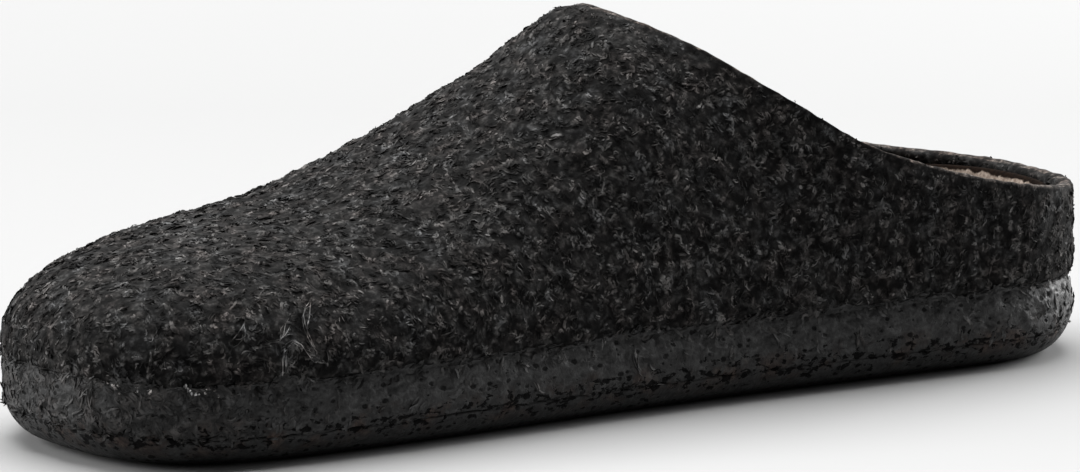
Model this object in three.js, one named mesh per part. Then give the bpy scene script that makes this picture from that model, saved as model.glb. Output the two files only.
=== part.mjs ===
// A felt slip-on house slipper for the left foot, in millimetres.
// x runs from the toe (-) to the heel (+), -y is the outer side of the foot, and z is up from the floor.
// A one-piece felt upper is tucked into a rubber-coated band, on a thin outsole, with a cork footbed inside.
import * as THREE from "three";
import { mergeVertices } from "three/addons/utils/BufferGeometryUtils.js";

// Sizes in plan
const bodyLength = 280;
const ballOuter = 43.5; // from the heel's axis to the widest point of the forefoot, on each side
const ballInner = 55.5;
const heelWidth = 78.5;
const toeTipOffset = 6; // the foremost point lies this far towards the big toe
const outerWaist = 2.4; // how far each side draws in between ball and heel
const innerWaist = 6;

// Sizes in height, above the floor, which the toe spring then lifts
const toeHeight = 46; // top of the toe box, over the toe's centre
const throatHeight = 89.5; // highest point of the upper
const heelHeight = 40; // collar at the back
const legHeight = 130; // the last behind the throat, which only the lean of the collar's wall follows
const toeSpring = 1.5;
const heelSpring = 0.8;

// Felt, band and sole
const feltWall = 4;
const feltBase = 21.5; // the felt is widest here
const rimRound = 1.1; // how much the cut edge of the collar is rounded
const tuckInset = 1.6; // the felt draws in by this much just above the band
const bandHeight = 19;
const bandBulgeHeight = 11;
const bandTopInset = 1.5;
const bandWall = 2.4;
const bandEdgeRound = 0.6; // rounding of the band's upper edge
const outsoleThickness = 7.2;
const outsoleEdgeInset = 0.9;
const contactInset = 10; // from the felt's outline to the edge of the flat tread
const skivedWall = 2.4; // the felt's thinned margin, inside the band
const fit = 0.3; // clearance between pieces that touch

// Footbed
const seatHeight = 18.5; // middle of the heel seat
const forefootHeight = 12;
const cupHeight = 38; // rim of the heel cup
const lipWidth = 2;
const bedFit = 0.5; // clearance between the footbed's side and the felt's inside

// Places along the body, as shares of its length from the toe
const toeCentreAt = 0.17;
const springAt = 0.16;
const throatAt = 0.554;
const heelCentreAt = 0.865;
const heelSpringAt = 0.93;

// The two sides of the plan: where each is widest, and how square its toe quarter is
const outer = { sign: -1, ball: ballOuter, ballAt: 0.213, toePower: 2.9, waist: outerWaist };
const inner = { sign: 1, ball: ballInner, ballAt: 0.31, toePower: 2, waist: innerWaist };
const heelPower = 2.25;
const axisY = (ballOuter - ballInner) / 2; // the heel's axis, which sets the whole width evenly about y = 0

// Top line of the last. rise is 0 at toeHeight and 1 at throatHeight, and climb is 1 at legHeight.
// width and crown are the powers of the section's arch, and ridge moves its top to the big toe's side.
const lastSections = [
  { at: toeCentreAt, rise: 0.0, climb: 0, width: 2.55, crown: 2.0, ridge: 0.1 },
  { at: 0.26, rise: 0.072, climb: 0, width: 2.35, crown: 2.1, ridge: 0.11 },
  { at: 0.34, rise: 0.235, climb: 0, width: 2.2, crown: 2.1, ridge: 0.11 },
  { at: 0.469, rise: 0.67, climb: 0, width: 2.0, crown: 1.95, ridge: 0.1 },
  { at: throatAt, rise: 1.0, climb: 0, width: 1.8, crown: 1.95, ridge: 0.08 },
  { at: 0.62, rise: 1.0, climb: 0.1, width: 1.9, crown: 1.75, ridge: 0.05 },
  { at: 0.75, rise: 1.0, climb: 1.05, width: 2.0, crown: 2.2, ridge: 0.02 },
  { at: heelCentreAt, rise: 1.0, climb: 1.0, width: 2.1, crown: 2.4, ridge: 0 },
];

// Collar line from the throat to the back of the heel: drop is 0 at throatHeight and 1 at heelHeight.
const collarLine = [
  { at: throatAt, drop: 0.0 },
  { at: 0.599, drop: 0.13 },
  { at: 0.65, drop: 0.33 },
  { at: 0.74, drop: 0.65 },
  { at: 0.82, drop: 0.81 },
  { at: 0.9, drop: 0.915 },
  { at: 1.0, drop: 1.0 },
];

// Footbed from toe to heel. seat is 0 at forefootHeight and 1 at seatHeight.
// Each rim is 0 at forefootHeight and 1 at cupHeight, and steep is how late the bed turns up to it.
const bedSections = [
  { at: 0.0, seat: 0.0, outerRim: 0.1, innerRim: 0.1, steep: 6 },
  { at: 0.2, seat: -0.05, outerRim: 0.12, innerRim: 0.12, steep: 7 },
  { at: 0.27, seat: 0.3, outerRim: 0.13, innerRim: 0.14, steep: 7 },
  { at: 0.35, seat: 0.0, outerRim: 0.16, innerRim: 0.2, steep: 6 },
  { at: 0.52, seat: 0.75, outerRim: 0.42, innerRim: 0.72, steep: 3.5 },
  { at: 0.68, seat: 1.1, outerRim: 0.72, innerRim: 0.95, steep: 4 },
  { at: 0.84, seat: 1.0, outerRim: 0.95, innerRim: 1.0, steep: 5 },
  { at: 1.0, seat: 1.05, outerRim: 1.0, innerRim: 1.0, steep: 5 },
];

const xAt = (share) => (share - 0.5) * bodyLength;
const shareAt = (x) => x / bodyLength + 0.5;
const mix = (a, b, t) => a + (b - a) * t;
const smooth = (t) => t * t * (3 - 2 * t);
const quarter = (t, power) => (1 - THREE.MathUtils.clamp(t, 0, 1) ** power) ** (1 / power);

// A column of a table at a share of the length, on a smooth curve through the rows that never overshoots them.
function column(table, name, share) {
  const last = table.length - 1;
  const at = THREE.MathUtils.clamp(share, table[0].at, table[last].at);
  const k = Math.max(0, Math.min(last - 1, table.findIndex((row) => row.at > at) - 1));
  const row = share >= table[last].at ? last - 1 : k;
  const slope = (i) => (table[i + 1][name] - table[i][name]) / (table[i + 1].at - table[i].at);
  const tangent = (i) => {
    if (i === 0) return slope(0);
    if (i === last) return slope(last - 1);
    const before = slope(i - 1);
    const after = slope(i);
    return before * after <= 0 ? 0 : (2 * before * after) / (before + after);
  };
  const span = table[row + 1].at - table[row].at;
  const t = (at - table[row].at) / span;
  const from = table[row][name];
  const to = table[row + 1][name];
  return (
    mix(from, to, smooth(t)) +
    span * t * (1 - t) * ((1 - t) * tangent(row) - t * tangent(row + 1))
  );
}

// y of the felt's outline at x, on one side
function outlineY(x, side) {
  const ballX = xAt(side.ballAt);
  const heelX = xAt(heelCentreAt);
  const heelHalf = heelWidth / 2;
  if (x < ballX) {
    const reach = side.ball - side.sign * toeTipOffset;
    const bend = quarter((ballX - x) / (ballX - xAt(0)), side.toePower);
    return axisY + toeTipOffset + side.sign * reach * bend;
  }
  if (x > heelX) {
    return axisY + side.sign * heelHalf * quarter((x - heelX) / (xAt(1) - heelX), heelPower);
  }
  const t = (x - ballX) / (heelX - ballX);
  const reach = mix(side.ball, heelHalf, smooth(t)) - side.waist * Math.sin(Math.PI * t) ** 2;
  return axisY + side.sign * reach;
}

// How far the whole build is lifted off the floor at x
function lift(x) {
  const toe = Math.max(0, (xAt(springAt) - x) / (xAt(springAt) - xAt(0)));
  const heel = Math.max(0, (x - xAt(heelSpringAt)) / (xAt(1) - xAt(heelSpringAt)));
  return toeSpring * toe ** 2 + heelSpring * heel ** 2;
}

// Stations along x, closer together round the toe, behind the throat and round the heel
const toeSteps = 9;
const vampSteps = 9;
const collarSteps = 12;
const heelSteps = 8;

function stations() {
  const list = [];
  for (let i = 0; i < toeSteps; i++) {
    list.push(mix(xAt(0), xAt(toeCentreAt), 1 - Math.cos((i / toeSteps) * (Math.PI / 2))));
  }
  for (let i = 0; i < vampSteps; i++) list.push(mix(xAt(toeCentreAt), xAt(throatAt), i / vampSteps));
  for (let i = 0; i < collarSteps; i++) {
    list.push(mix(xAt(throatAt), xAt(heelCentreAt), (i / collarSteps) ** 1.5));
  }
  for (let i = 0; i <= heelSteps; i++) {
    list.push(mix(xAt(heelCentreAt), xAt(1), Math.sin((i / heelSteps) * (Math.PI / 2))));
  }
  return list;
}

// One strip of the last for each point round the outline: its edge point, its outward direction,
// and the spine point under the top line that the strip climbs to. The toe's and heel's strips fan out.
function makeStrips() {
  const xs = stations();
  const last = xs.length - 1;
  const edge = (i, side) => ({ station: i, x: xs[i], y: outlineY(xs[i], side), side });
  const loop = [];
  for (let i = 0; i <= last; i++) loop.push(edge(i, outer));
  for (let i = last - 1; i > 0; i--) loop.push(edge(i, inner));
  return loop.map((point, j) => {
    const next = loop[(j + 1) % loop.length];
    const before = loop[(j + loop.length - 1) % loop.length];
    const away = new THREE.Vector2(next.y - before.y, before.x - next.x).normalize();
    const spineX = THREE.MathUtils.clamp(point.x, xAt(toeCentreAt), xAt(heelCentreAt));
    const share = shareAt(spineX);
    const ridge = column(lastSections, "ridge", share);
    const width = outlineY(spineX, inner) - outlineY(spineX, outer);
    const middle = (outlineY(spineX, inner) + outlineY(spineX, outer)) / 2;
    return { ...point, away, spine: new THREE.Vector2(spineX, middle + ridge * width), share };
  });
}

const strips = makeStrips();
const throatStation = toeSteps + vampSteps;

// Height of the last over a strip's spine, above the lifted floor
function lastHeight(strip) {
  const rise = column(lastSections, "rise", strip.share);
  const climb = column(lastSections, "climb", strip.share);
  return mix(mix(toeHeight, throatHeight, rise), legHeight, climb);
}

// Slope of the top line where the toe's strips start
const toeSlope =
  ((throatHeight - toeHeight) * (lastSections[1].rise - lastSections[0].rise)) /
  ((lastSections[1].at - lastSections[0].at) * bodyLength);

// A point at a share of the way from a strip's spine to its edge, which is drawn in by inset
function planPoint(strip, share, inset) {
  const edge = new THREE.Vector2(strip.x, strip.y).addScaledVector(strip.away, -inset);
  return strip.spine.clone().lerp(edge, share);
}

const raised = (point, height) => new THREE.Vector3(point.x, point.y, height + lift(point.x));

// A point of the last's arch, from its edge at angle 0 to its top line at a right angle
function archPoint(strip, angle, inset) {
  const width = column(lastSections, "width", strip.share);
  const crown = column(lastSections, "crown", strip.share);
  const top = lastHeight(strip) - inset;
  const out = Math.max(0, Math.cos(angle)) ** (2 / width);
  const point = planPoint(strip, out, inset);
  const up = Math.sin(angle) ** (2 / crown);
  const forward = strip.spine.x - point.x;
  const roll = strip.spine.x === xAt(toeCentreAt) ? toeSlope * Math.max(0, forward) * (1 - out ** 2) : 0;
  return raised(point, mix(feltBase, top, up) - roll);
}

// The arch's angle at a height, which is where the collar ends a strip
function archAngle(strip, height) {
  const crown = column(lastSections, "crown", strip.share);
  const up = THREE.MathUtils.clamp((height - feltBase) / (lastHeight(strip) - feltBase), 0, 1);
  return Math.asin(up ** (crown / 2));
}

function collarAngle(strip) {
  if (strip.station <= throatStation) return Math.PI / 2;
  const drop = column(collarLine, "drop", shareAt(strip.x));
  return archAngle(strip, mix(throatHeight, heelHeight, drop));
}

// How far the inside of the felt is drawn in at a height: it is tucked in with the skived margin
const marginInset = bandTopInset + bandWall + fit;
function insideInset(height) {
  const t = THREE.MathUtils.clamp((height - bandHeight) / (feltBase - bandHeight), 0, 1);
  return mix(marginInset + skivedWall, feltWall, smooth(t));
}

// A point on the inside of the felt's wall at a height, moved off it by a clearance
function insidePoint(strip, height, clearance) {
  if (height <= feltBase) {
    return raised(planPoint(strip, 1, insideInset(height) + clearance), height);
  }
  const point = archPoint(strip, archAngle(strip, height), feltWall + clearance);
  point.z = height + lift(point.x);
  return point;
}

// A geometry through rings of points, each ring in the strips' order. It runs up the outside and down the inside.
// A ring on the spine closes an end. joined ties the last ring to the first, and open tells where to leave faces out.
function loft(rings, { joined = false, open = () => false } = {}) {
  const corners = [];
  const count = strips.length;
  const steps = joined ? rings.length : rings.length - 1;
  const triangle = (a, b, c) => {
    if (a.equals(b) || b.equals(c) || c.equals(a)) return;
    corners.push(...a.toArray(), ...b.toArray(), ...c.toArray());
  };
  for (let k = 0; k < steps; k++) {
    const low = rings[k];
    const high = rings[(k + 1) % rings.length];
    for (let j = 0; j < count; j++) {
      const next = (j + 1) % count;
      if (open(k, strips[j], strips[next])) continue;
      triangle(low[j], low[next], high[next]);
      triangle(low[j], high[next], high[j]);
    }
  }
  const geometry = new THREE.BufferGeometry();
  geometry.setAttribute("position", new THREE.Float32BufferAttribute(corners, 3));
  return mergeVertices(geometry, 1e-3);
}

const ringOf = (place) => strips.map((strip) => place(strip));

// The felt's rows up the arch
const archRows = 11;

function upperGeometry() {
  const rim = outsoleThickness + fit;
  const ledge = bandHeight + fit;
  const rings = [
    ringOf((s) => raised(planPoint(s, 1, marginInset), rim)),
    ringOf((s) => raised(planPoint(s, 1, marginInset), ledge)),
    ringOf((s) => raised(planPoint(s, 1, tuckInset), ledge)),
    ringOf((s) => raised(planPoint(s, 1, tuckInset * 0.3), mix(ledge, feltBase, 0.4))),
  ];
  const edgeTrim = (s) => (s.station > throatStation ? rimRound / (lastHeight(s) - feltBase) : 0);
  for (let row = 0; row <= archRows; row++) {
    const end = (s) => collarAngle(s) - edgeTrim(s);
    rings.push(ringOf((s) => archPoint(s, (row / archRows) * end(s), 0)));
  }
  const outerTop = rings.length - 1;
  rings.push(ringOf((s) => archPoint(s, collarAngle(s), feltWall * 0.25)));
  rings.push(ringOf((s) => archPoint(s, collarAngle(s), feltWall * 0.75)));
  for (let row = archRows; row >= 0; row--) {
    const end = (s) => collarAngle(s) - edgeTrim(s);
    rings.push(ringOf((s) => archPoint(s, (row / archRows) * end(s), feltWall)));
  }
  rings.push(ringOf((s) => insidePoint(s, mix(bandHeight, feltBase, 0.5), 0)));
  rings.push(ringOf((s) => insidePoint(s, bandHeight, 0)));
  rings.push(ringOf((s) => insidePoint(s, rim, 0)));
  const overVamp = (k, a, b) =>
    k >= outerTop && k < outerTop + 3 && Math.min(a.station, b.station) < throatStation;
  return loft(rings, { joined: true, open: overVamp });
}

// Side profile of the band and the outsole: one round bulge, from the top of the band down to the tread
function soleInset(height) {
  if (height >= bandBulgeHeight) {
    return bandTopInset * ((height - bandBulgeHeight) / (bandHeight - bandBulgeHeight)) ** 2;
  }
  return contactInset * (1 - quarter((bandBulgeHeight - height) / bandBulgeHeight, 2));
}

function bandGeometry() {
  const low = outsoleThickness + fit;
  const insideFace = bandTopInset + bandWall;
  const side = (height) => ringOf((s) => raised(planPoint(s, 1, soleInset(height)), height));
  const heights = [low, mix(low, bandBulgeHeight, 0.5), bandBulgeHeight];
  heights.push(mix(bandBulgeHeight, bandHeight, 0.5), bandHeight - bandEdgeRound);
  const rings = heights.map(side);
  rings.push(ringOf((s) => raised(planPoint(s, 1, bandTopInset + bandEdgeRound), bandHeight)));
  rings.push(ringOf((s) => raised(planPoint(s, 1, insideFace), bandHeight)));
  rings.push(ringOf((s) => raised(planPoint(s, 1, insideFace), low)));
  return loft(rings, { joined: true });
}

function outsoleGeometry() {
  const flat = (share, height) => ringOf((s) => raised(planPoint(s, share, contactInset), height));
  const side = (height) =>
    ringOf((s) => raised(planPoint(s, 1, Math.max(outsoleEdgeInset, soleInset(height))), height));
  const sides = [0.06, 0.22, 0.5, 1].map((share) => side(share * outsoleThickness));
  const rings = [0, 0.35, 0.7, 1].map((share) => flat(share, 0));
  rings.push(...sides);
  rings.push(...[1, 0.7, 0.35, 0].map((share) => flat(share, outsoleThickness)));
  return loft(rings);
}

// Height of the footbed's rim over a strip
function bedRim(strip) {
  const outerRim = column(bedSections, "outerRim", shareAt(strip.x));
  const innerRim = column(bedSections, "innerRim", shareAt(strip.x));
  const across = THREE.MathUtils.clamp((strip.y - axisY) / (heelWidth / 2), -1, 1) / 2 + 0.5;
  return mix(forefootHeight, cupHeight, mix(outerRim, innerRim, smooth(across)));
}

function footbedGeometry() {
  const low = outsoleThickness + fit;
  const bottomInset = insideInset(low) + bedFit;
  const rings = [0, 0.35, 0.7, 1].map((share) =>
    ringOf((s) => raised(planPoint(s, share, bottomInset), low)),
  );
  const bends = [bandHeight, mix(bandHeight, feltBase, 0.5), feltBase, mix(feltBase, cupHeight, 0.5), cupHeight];
  for (const height of bends) {
    rings.push(ringOf((s) => insidePoint(s, Math.min(height, bedRim(s)), bedFit)));
  }
  for (const share of [1, 0.9, 0.8, 0.7, 0.55, 0.35, 0.15, 0]) {
    rings.push(
      ringOf((s) => {
        const rim = insidePoint(s, bedRim(s), bedFit + lipWidth);
        const x = mix(s.spine.x, rim.x, share);
        const y = mix(s.spine.y, rim.y, share);
        const at = shareAt(x);
        const seat = mix(forefootHeight, seatHeight, column(bedSections, "seat", at));
        const turn = share ** column(bedSections, "steep", at);
        return raised(new THREE.Vector2(x, y), mix(seat, bedRim(s), turn));
      }),
    );
  }
  return loft(rings);
}

function piece(name, geometry, material) {
  const mesh = new THREE.Mesh(geometry, material);
  mesh.name = name;
  return mesh;
}

const felt = new THREE.MeshStandardMaterial({ color: 0x2b2a29, roughness: 0.95, metalness: 0 });
const coating = new THREE.MeshStandardMaterial({ color: 0x1d1d1d, roughness: 0.5, metalness: 0 });
const tread = new THREE.MeshStandardMaterial({ color: 0x171615, roughness: 0.7, metalness: 0 });
const suede = new THREE.MeshStandardMaterial({ color: 0x9a7450, roughness: 0.9, metalness: 0 });

const slipper = new THREE.Group();
slipper.add(
  piece("upper", upperGeometry(), felt),
  piece("band", bandGeometry(), coating),
  piece("outsole", outsoleGeometry(), tread),
  piece("footbed", footbedGeometry(), suede),
);

export default slipper;
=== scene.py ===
"""Looks of a felt house slipper for the left foot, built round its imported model.

x runs from the toe (-) to the heel (+), -y is the outer side of the foot, and z is up from the floor.
Shapes are worked out in millimetres, and make_object turns them into metres.
"""

import math

import bpy
import numpy as np
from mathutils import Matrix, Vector, noise


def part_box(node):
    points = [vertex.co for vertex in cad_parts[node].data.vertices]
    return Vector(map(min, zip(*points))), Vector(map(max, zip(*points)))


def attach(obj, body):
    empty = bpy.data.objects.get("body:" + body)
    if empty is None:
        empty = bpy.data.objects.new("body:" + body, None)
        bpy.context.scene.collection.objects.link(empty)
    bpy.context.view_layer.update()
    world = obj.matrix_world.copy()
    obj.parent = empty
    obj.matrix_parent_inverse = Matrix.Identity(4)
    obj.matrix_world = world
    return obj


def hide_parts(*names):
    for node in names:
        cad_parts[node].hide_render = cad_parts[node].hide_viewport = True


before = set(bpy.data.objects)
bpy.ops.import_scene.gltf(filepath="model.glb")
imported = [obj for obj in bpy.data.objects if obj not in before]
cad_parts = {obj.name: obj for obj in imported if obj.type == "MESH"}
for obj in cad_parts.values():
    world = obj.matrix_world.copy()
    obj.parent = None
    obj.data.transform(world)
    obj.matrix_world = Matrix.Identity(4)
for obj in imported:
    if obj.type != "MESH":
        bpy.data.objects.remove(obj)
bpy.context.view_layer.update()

MM = 0.001
upper_low, upper_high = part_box("upper")
_, band_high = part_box("band")

# Sizes of the last, as in the model
LENGTH = (upper_high.x - upper_low.x) / MM
BALL_OUTER = 43.5
BALL_INNER = 55.5
HEEL_WIDTH = 78.5
TOE_TIP_OFFSET = 6.0
OUTER_WAIST = 2.4
INNER_WAIST = 6.0
AXIS_Y = (BALL_OUTER - BALL_INNER) / 2
TOE_HEIGHT = 46.0
THROAT_HEIGHT = upper_high.z / MM
HEEL_HEIGHT = 40.0
LEG_HEIGHT = 130.0
TOE_SPRING = 1.5
HEEL_SPRING = 0.8
FELT_WALL = 4.0
FELT_BASE = 21.5
RIM_ROUND = 1.1
TUCK_INSET = 1.6
BAND_HEIGHT = band_high.z / MM - TOE_SPRING
BAND_BULGE_HEIGHT = 11.0
BAND_TOP_INSET = 1.5
BAND_WALL = 2.4
OUTSOLE_THICKNESS = 7.2
OUTSOLE_EDGE_INSET = 0.9
CONTACT_INSET = 10.0
SKIVED_WALL = 2.4
FIT = 0.3
SEAT_HEIGHT = 18.5
FOREFOOT_HEIGHT = 12.0
CUP_HEIGHT = 38.0
LIP_WIDTH = 2.0
BED_FIT = 0.5
TOE_CENTRE_AT = 0.17
SPRING_AT = 0.16
THROAT_AT = 0.554
HEEL_CENTRE_AT = 0.865
HEEL_SPRING_AT = 0.93
HEEL_POWER = 2.25
OUTER = {"sign": -1, "ball": BALL_OUTER, "ball_at": 0.213, "toe_power": 2.9, "waist": OUTER_WAIST}
INNER = {"sign": 1, "ball": BALL_INNER, "ball_at": 0.31, "toe_power": 2.0, "waist": INNER_WAIST}

# The last by shares of its length from the toe: how far the top line has risen from the toe's height to the
# throat's and then climbed to the leg's, the powers of the section's arch, and the ridge's shift inwards
LAST_SECTIONS = {
    "at": [TOE_CENTRE_AT, 0.26, 0.34, 0.469, THROAT_AT, 0.62, 0.75, HEEL_CENTRE_AT],
    "rise": [0.0, 0.072, 0.235, 0.67, 1.0, 1.0, 1.0, 1.0],
    "climb": [0.0, 0.0, 0.0, 0.0, 0.0, 0.1, 1.05, 1.0],
    "width": [2.55, 2.35, 2.2, 2.0, 1.8, 1.9, 2.0, 2.1],
    "crown": [2.0, 2.1, 2.1, 1.95, 1.95, 1.75, 2.2, 2.4],
    "ridge": [0.1, 0.11, 0.11, 0.1, 0.08, 0.05, 0.02, 0.0],
}
# How far the collar's edge has dropped from the throat's height to the heel's
COLLAR_LINE = {
    "at": [THROAT_AT, 0.599, 0.65, 0.74, 0.82, 0.9, 1.0],
    "drop": [0.0, 0.13, 0.33, 0.65, 0.81, 0.915, 1.0],
}
# The footbed's seat and rims between the forefoot's height and the heel's, and how steeply its sides climb
BED_SECTIONS = {
    "at": [0.0, 0.2, 0.27, 0.35, 0.52, 0.68, 0.84, 1.0],
    "seat": [0.0, -0.05, 0.3, 0.0, 0.75, 1.1, 1.0, 1.05],
    "outer_rim": [0.1, 0.12, 0.13, 0.16, 0.42, 0.72, 0.95, 1.0],
    "inner_rim": [0.1, 0.12, 0.14, 0.2, 0.72, 0.95, 1.0, 1.0],
    "steep": [6.0, 7.0, 7.0, 6.0, 3.5, 4.0, 5.0, 5.0],
}

# The photograph's view of the shoe
PHOTO_WIDTH = 1080
VIEW_AZIMUTH = math.radians(-33.0)
VIEW_ELEVATION = math.radians(10.21)
VIEW_DISTANCE = 2.0
VIEW_FOCAL_PIXELS = 8546.6
VIEW_TARGET = Vector((-3.32, -6.0, 37.04)) * MM
SENSOR_WIDTH = 36.0


# Numbers and curves

# Brings the noise of field to about -1 to 1
NOISE_GAIN = 1.6


def mix(a, b, t):
    return a + (b - a) * t


def smooth(t):
    return t * t * (3 - 2 * t)


def rise(value, start, reach):
    """0 up to start, 1 from start + reach on, and smooth between them."""
    return smooth(np.clip((value - start) / reach, 0, 1))


def quarter(t, power):
    """A quarter of a superellipse: 1 at t = 0, falling to 0 at t = 1."""
    return (1 - np.clip(t, 0, 1) ** power) ** (1 / power)


def column(table, name, share):
    """A column of a table at shares of the length, on a smooth curve that never overshoots its rows."""
    places = np.array(table["at"])
    values = np.array(table[name])
    at = np.clip(share, places[0], places[-1])
    slope = np.diff(values) / np.diff(places)
    before, after = slope[:-1], slope[1:]
    same_way = before * after > 0
    total = np.where(same_way, before + after, 1.0)
    inner = np.where(same_way, 2 * before * after / total, 0.0)
    tangent = np.concatenate([slope[:1], inner, slope[-1:]])
    row = np.clip(np.searchsorted(places, at, side="right") - 1, 0, len(places) - 2)
    span = places[row + 1] - places[row]
    t = (at - places[row]) / span
    bend = (1 - t) * tangent[row] - t * tangent[row + 1]
    return mix(values[row], values[row + 1], smooth(t)) + span * t * (1 - t) * bend


def field(points, size, octaves=1, shift=0.0):
    """Smooth noise of about -1 to 1 at points, whose lumps are about size millimetres across."""
    scaled = points / size + shift
    total = np.zeros(len(points))
    share = 1.0
    for octave in range(octaves):
        values = [noise.noise(Vector(p)) for p in scaled * 2.0**octave]
        total += share * np.array(values)
        share *= 0.5
    return total * NOISE_GAIN


# The shape of the last


def x_at(share):
    return (share - 0.5) * LENGTH


def share_at(x):
    return x / LENGTH + 0.5


def outline_y(x, side):
    """y of the felt's outline at x, on one side."""
    ball_x, heel_x, heel_half = x_at(side["ball_at"]), x_at(HEEL_CENTRE_AT), HEEL_WIDTH / 2
    reach = side["ball"] - side["sign"] * TOE_TIP_OFFSET
    bend = quarter((ball_x - x) / (ball_x - x_at(0)), side["toe_power"])
    toe = AXIS_Y + TOE_TIP_OFFSET + side["sign"] * reach * bend
    heel = AXIS_Y + side["sign"] * heel_half * quarter((x - heel_x) / (x_at(1) - heel_x), HEEL_POWER)
    t = np.clip((x - ball_x) / (heel_x - ball_x), 0, 1)
    waist = side["waist"] * np.sin(np.pi * t) ** 2
    middle = AXIS_Y + side["sign"] * (mix(side["ball"], heel_half, smooth(t)) - waist)
    return np.where(x < ball_x, toe, np.where(x > heel_x, heel, middle))


def lift(x):
    """How far the whole build is lifted off the floor at x."""
    toe = np.maximum(0, (x_at(SPRING_AT) - x) / (x_at(SPRING_AT) - x_at(0)))
    heel = np.maximum(0, (x - x_at(HEEL_SPRING_AT)) / (x_at(1) - x_at(HEEL_SPRING_AT)))
    return TOE_SPRING * toe**2 + HEEL_SPRING * heel**2


class Strips:
    """The strips of the last, one for each point round its outline, in arrays. Each climbs from the
    outline to the spine point under the top line. The toe's and the heel's strips fan out."""

    def __init__(self, toe_steps, vamp_steps, collar_steps, heel_steps):
        toe_x, throat_x, heel_x = x_at(TOE_CENTRE_AT), x_at(THROAT_AT), x_at(HEEL_CENTRE_AT)
        toe_turn = 1 - np.cos(np.arange(toe_steps) / toe_steps * np.pi / 2)
        heel_turn = np.sin(np.arange(heel_steps + 1) / heel_steps * np.pi / 2)
        stations = np.concatenate([
            mix(x_at(0), toe_x, toe_turn),
            mix(toe_x, throat_x, np.arange(vamp_steps) / vamp_steps),
            mix(throat_x, heel_x, (np.arange(collar_steps) / collar_steps) ** 1.3),
            mix(heel_x, x_at(1), heel_turn),
        ])
        last = len(stations) - 1
        self.throat_station = toe_steps + vamp_steps
        self.station = np.concatenate([np.arange(last + 1), np.arange(last - 1, 0, -1)])
        outer_side = np.arange(len(self.station)) <= last
        self.x = stations[self.station]
        self.y = np.where(outer_side, outline_y(self.x, OUTER), outline_y(self.x, INNER))
        step = np.stack([np.roll(row, -1) - np.roll(row, 1) for row in (self.x, self.y)], 1)
        step /= np.linalg.norm(step, axis=1, keepdims=True)
        self.away = np.stack([step[:, 1], -step[:, 0]], 1)
        spine_x = np.clip(self.x, toe_x, heel_x)
        self.share = share_at(spine_x)
        inner_y, outer_y = outline_y(spine_x, INNER), outline_y(spine_x, OUTER)
        ridge = column(LAST_SECTIONS, "ridge", self.share)
        self.spine = np.stack([spine_x, (inner_y + outer_y) / 2 + ridge * (inner_y - outer_y)], 1)
        self.width = column(LAST_SECTIONS, "width", self.share)
        self.crown = column(LAST_SECTIONS, "crown", self.share)
        top = mix(TOE_HEIGHT, THROAT_HEIGHT, column(LAST_SECTIONS, "rise", self.share))
        self.height = mix(top, LEG_HEIGHT, column(LAST_SECTIONS, "climb", self.share))
        self.on_toe = spine_x <= toe_x

    def plan(self, share, inset):
        """Points at a share of the way from the spine to the outline, which is drawn in by inset."""
        edge = np.stack([self.x, self.y], 1) - self.away * np.reshape(inset, (-1, 1))
        share = np.reshape(share, (-1, 1))
        return self.spine * (1 - share) + edge * share

    def raised(self, point, height):
        return np.column_stack([point, height + lift(point[:, 0])])

    def wall(self, inset, height):
        """Points at a height on the outline drawn in by inset."""
        return self.raised(self.plan(1.0, inset), height)

    def arch(self, angle, inset):
        """Points of the last's arch, from its edge at angle 0 to its top line at a right angle."""
        first, second = LAST_SECTIONS["at"][:2]
        climb = LAST_SECTIONS["rise"][1] - LAST_SECTIONS["rise"][0]
        toe_slope = (THROAT_HEIGHT - TOE_HEIGHT) * climb / ((second - first) * LENGTH)
        out = np.maximum(0, np.cos(angle)) ** (2 / self.width)
        point = self.plan(out, inset)
        up = np.sin(angle) ** (2 / self.crown)
        forward = np.maximum(0, self.spine[:, 0] - point[:, 0])
        roll = np.where(self.on_toe, toe_slope * forward * (1 - out**2), 0)
        return self.raised(point, mix(FELT_BASE, self.height - inset, up) - roll)

    def arch_angle(self, height):
        up = np.clip((height - FELT_BASE) / (self.height - FELT_BASE), 0, 1)
        return np.arcsin(up ** (self.crown / 2))

    def collar_angle(self):
        """Angle of the arch at which the felt ends: the collar's edge, or the top line before the throat."""
        drop = column(COLLAR_LINE, "drop", share_at(self.x))
        angle = self.arch_angle(mix(THROAT_HEIGHT, HEEL_HEIGHT, drop))
        return np.where(self.station <= self.throat_station, np.pi / 2, angle)


def inside_inset(height):
    """How far the inside of the felt is drawn in at a height, down into the band."""
    t = np.clip((height - BAND_HEIGHT) / (FELT_BASE - BAND_HEIGHT), 0, 1)
    return mix(BAND_TOP_INSET + BAND_WALL + FIT + SKIVED_WALL, FELT_WALL, smooth(t))


def inside_point(strips, height, clearance):
    """Points on the inside of the felt's wall at a height for each strip, moved off it by a clearance."""
    low = strips.wall(inside_inset(height) + clearance, height)
    high = strips.arch(strips.arch_angle(height), FELT_WALL + clearance)
    high[:, 2] = height + lift(high[:, 0])
    return np.where(np.reshape(height <= FELT_BASE, (-1, 1)), low, high)


def sole_inset(height):
    """Side profile of the band and the outsole: one round bulge, drawn in above and below."""
    above = BAND_TOP_INSET * ((height - BAND_BULGE_HEIGHT) / (BAND_HEIGHT - BAND_BULGE_HEIGHT)) ** 2
    below = CONTACT_INSET * (1 - quarter((BAND_BULGE_HEIGHT - height) / BAND_BULGE_HEIGHT, 2))
    return np.where(height >= BAND_BULGE_HEIGHT, above, below)


# The groove between felt and band: its depth round the toe as a share of the full one, and where that ends
TOE_GROOVE = 0.1
TOE_GROOVE_END = -132.0
TOE_GROOVE_FADE = 45.0


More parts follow.
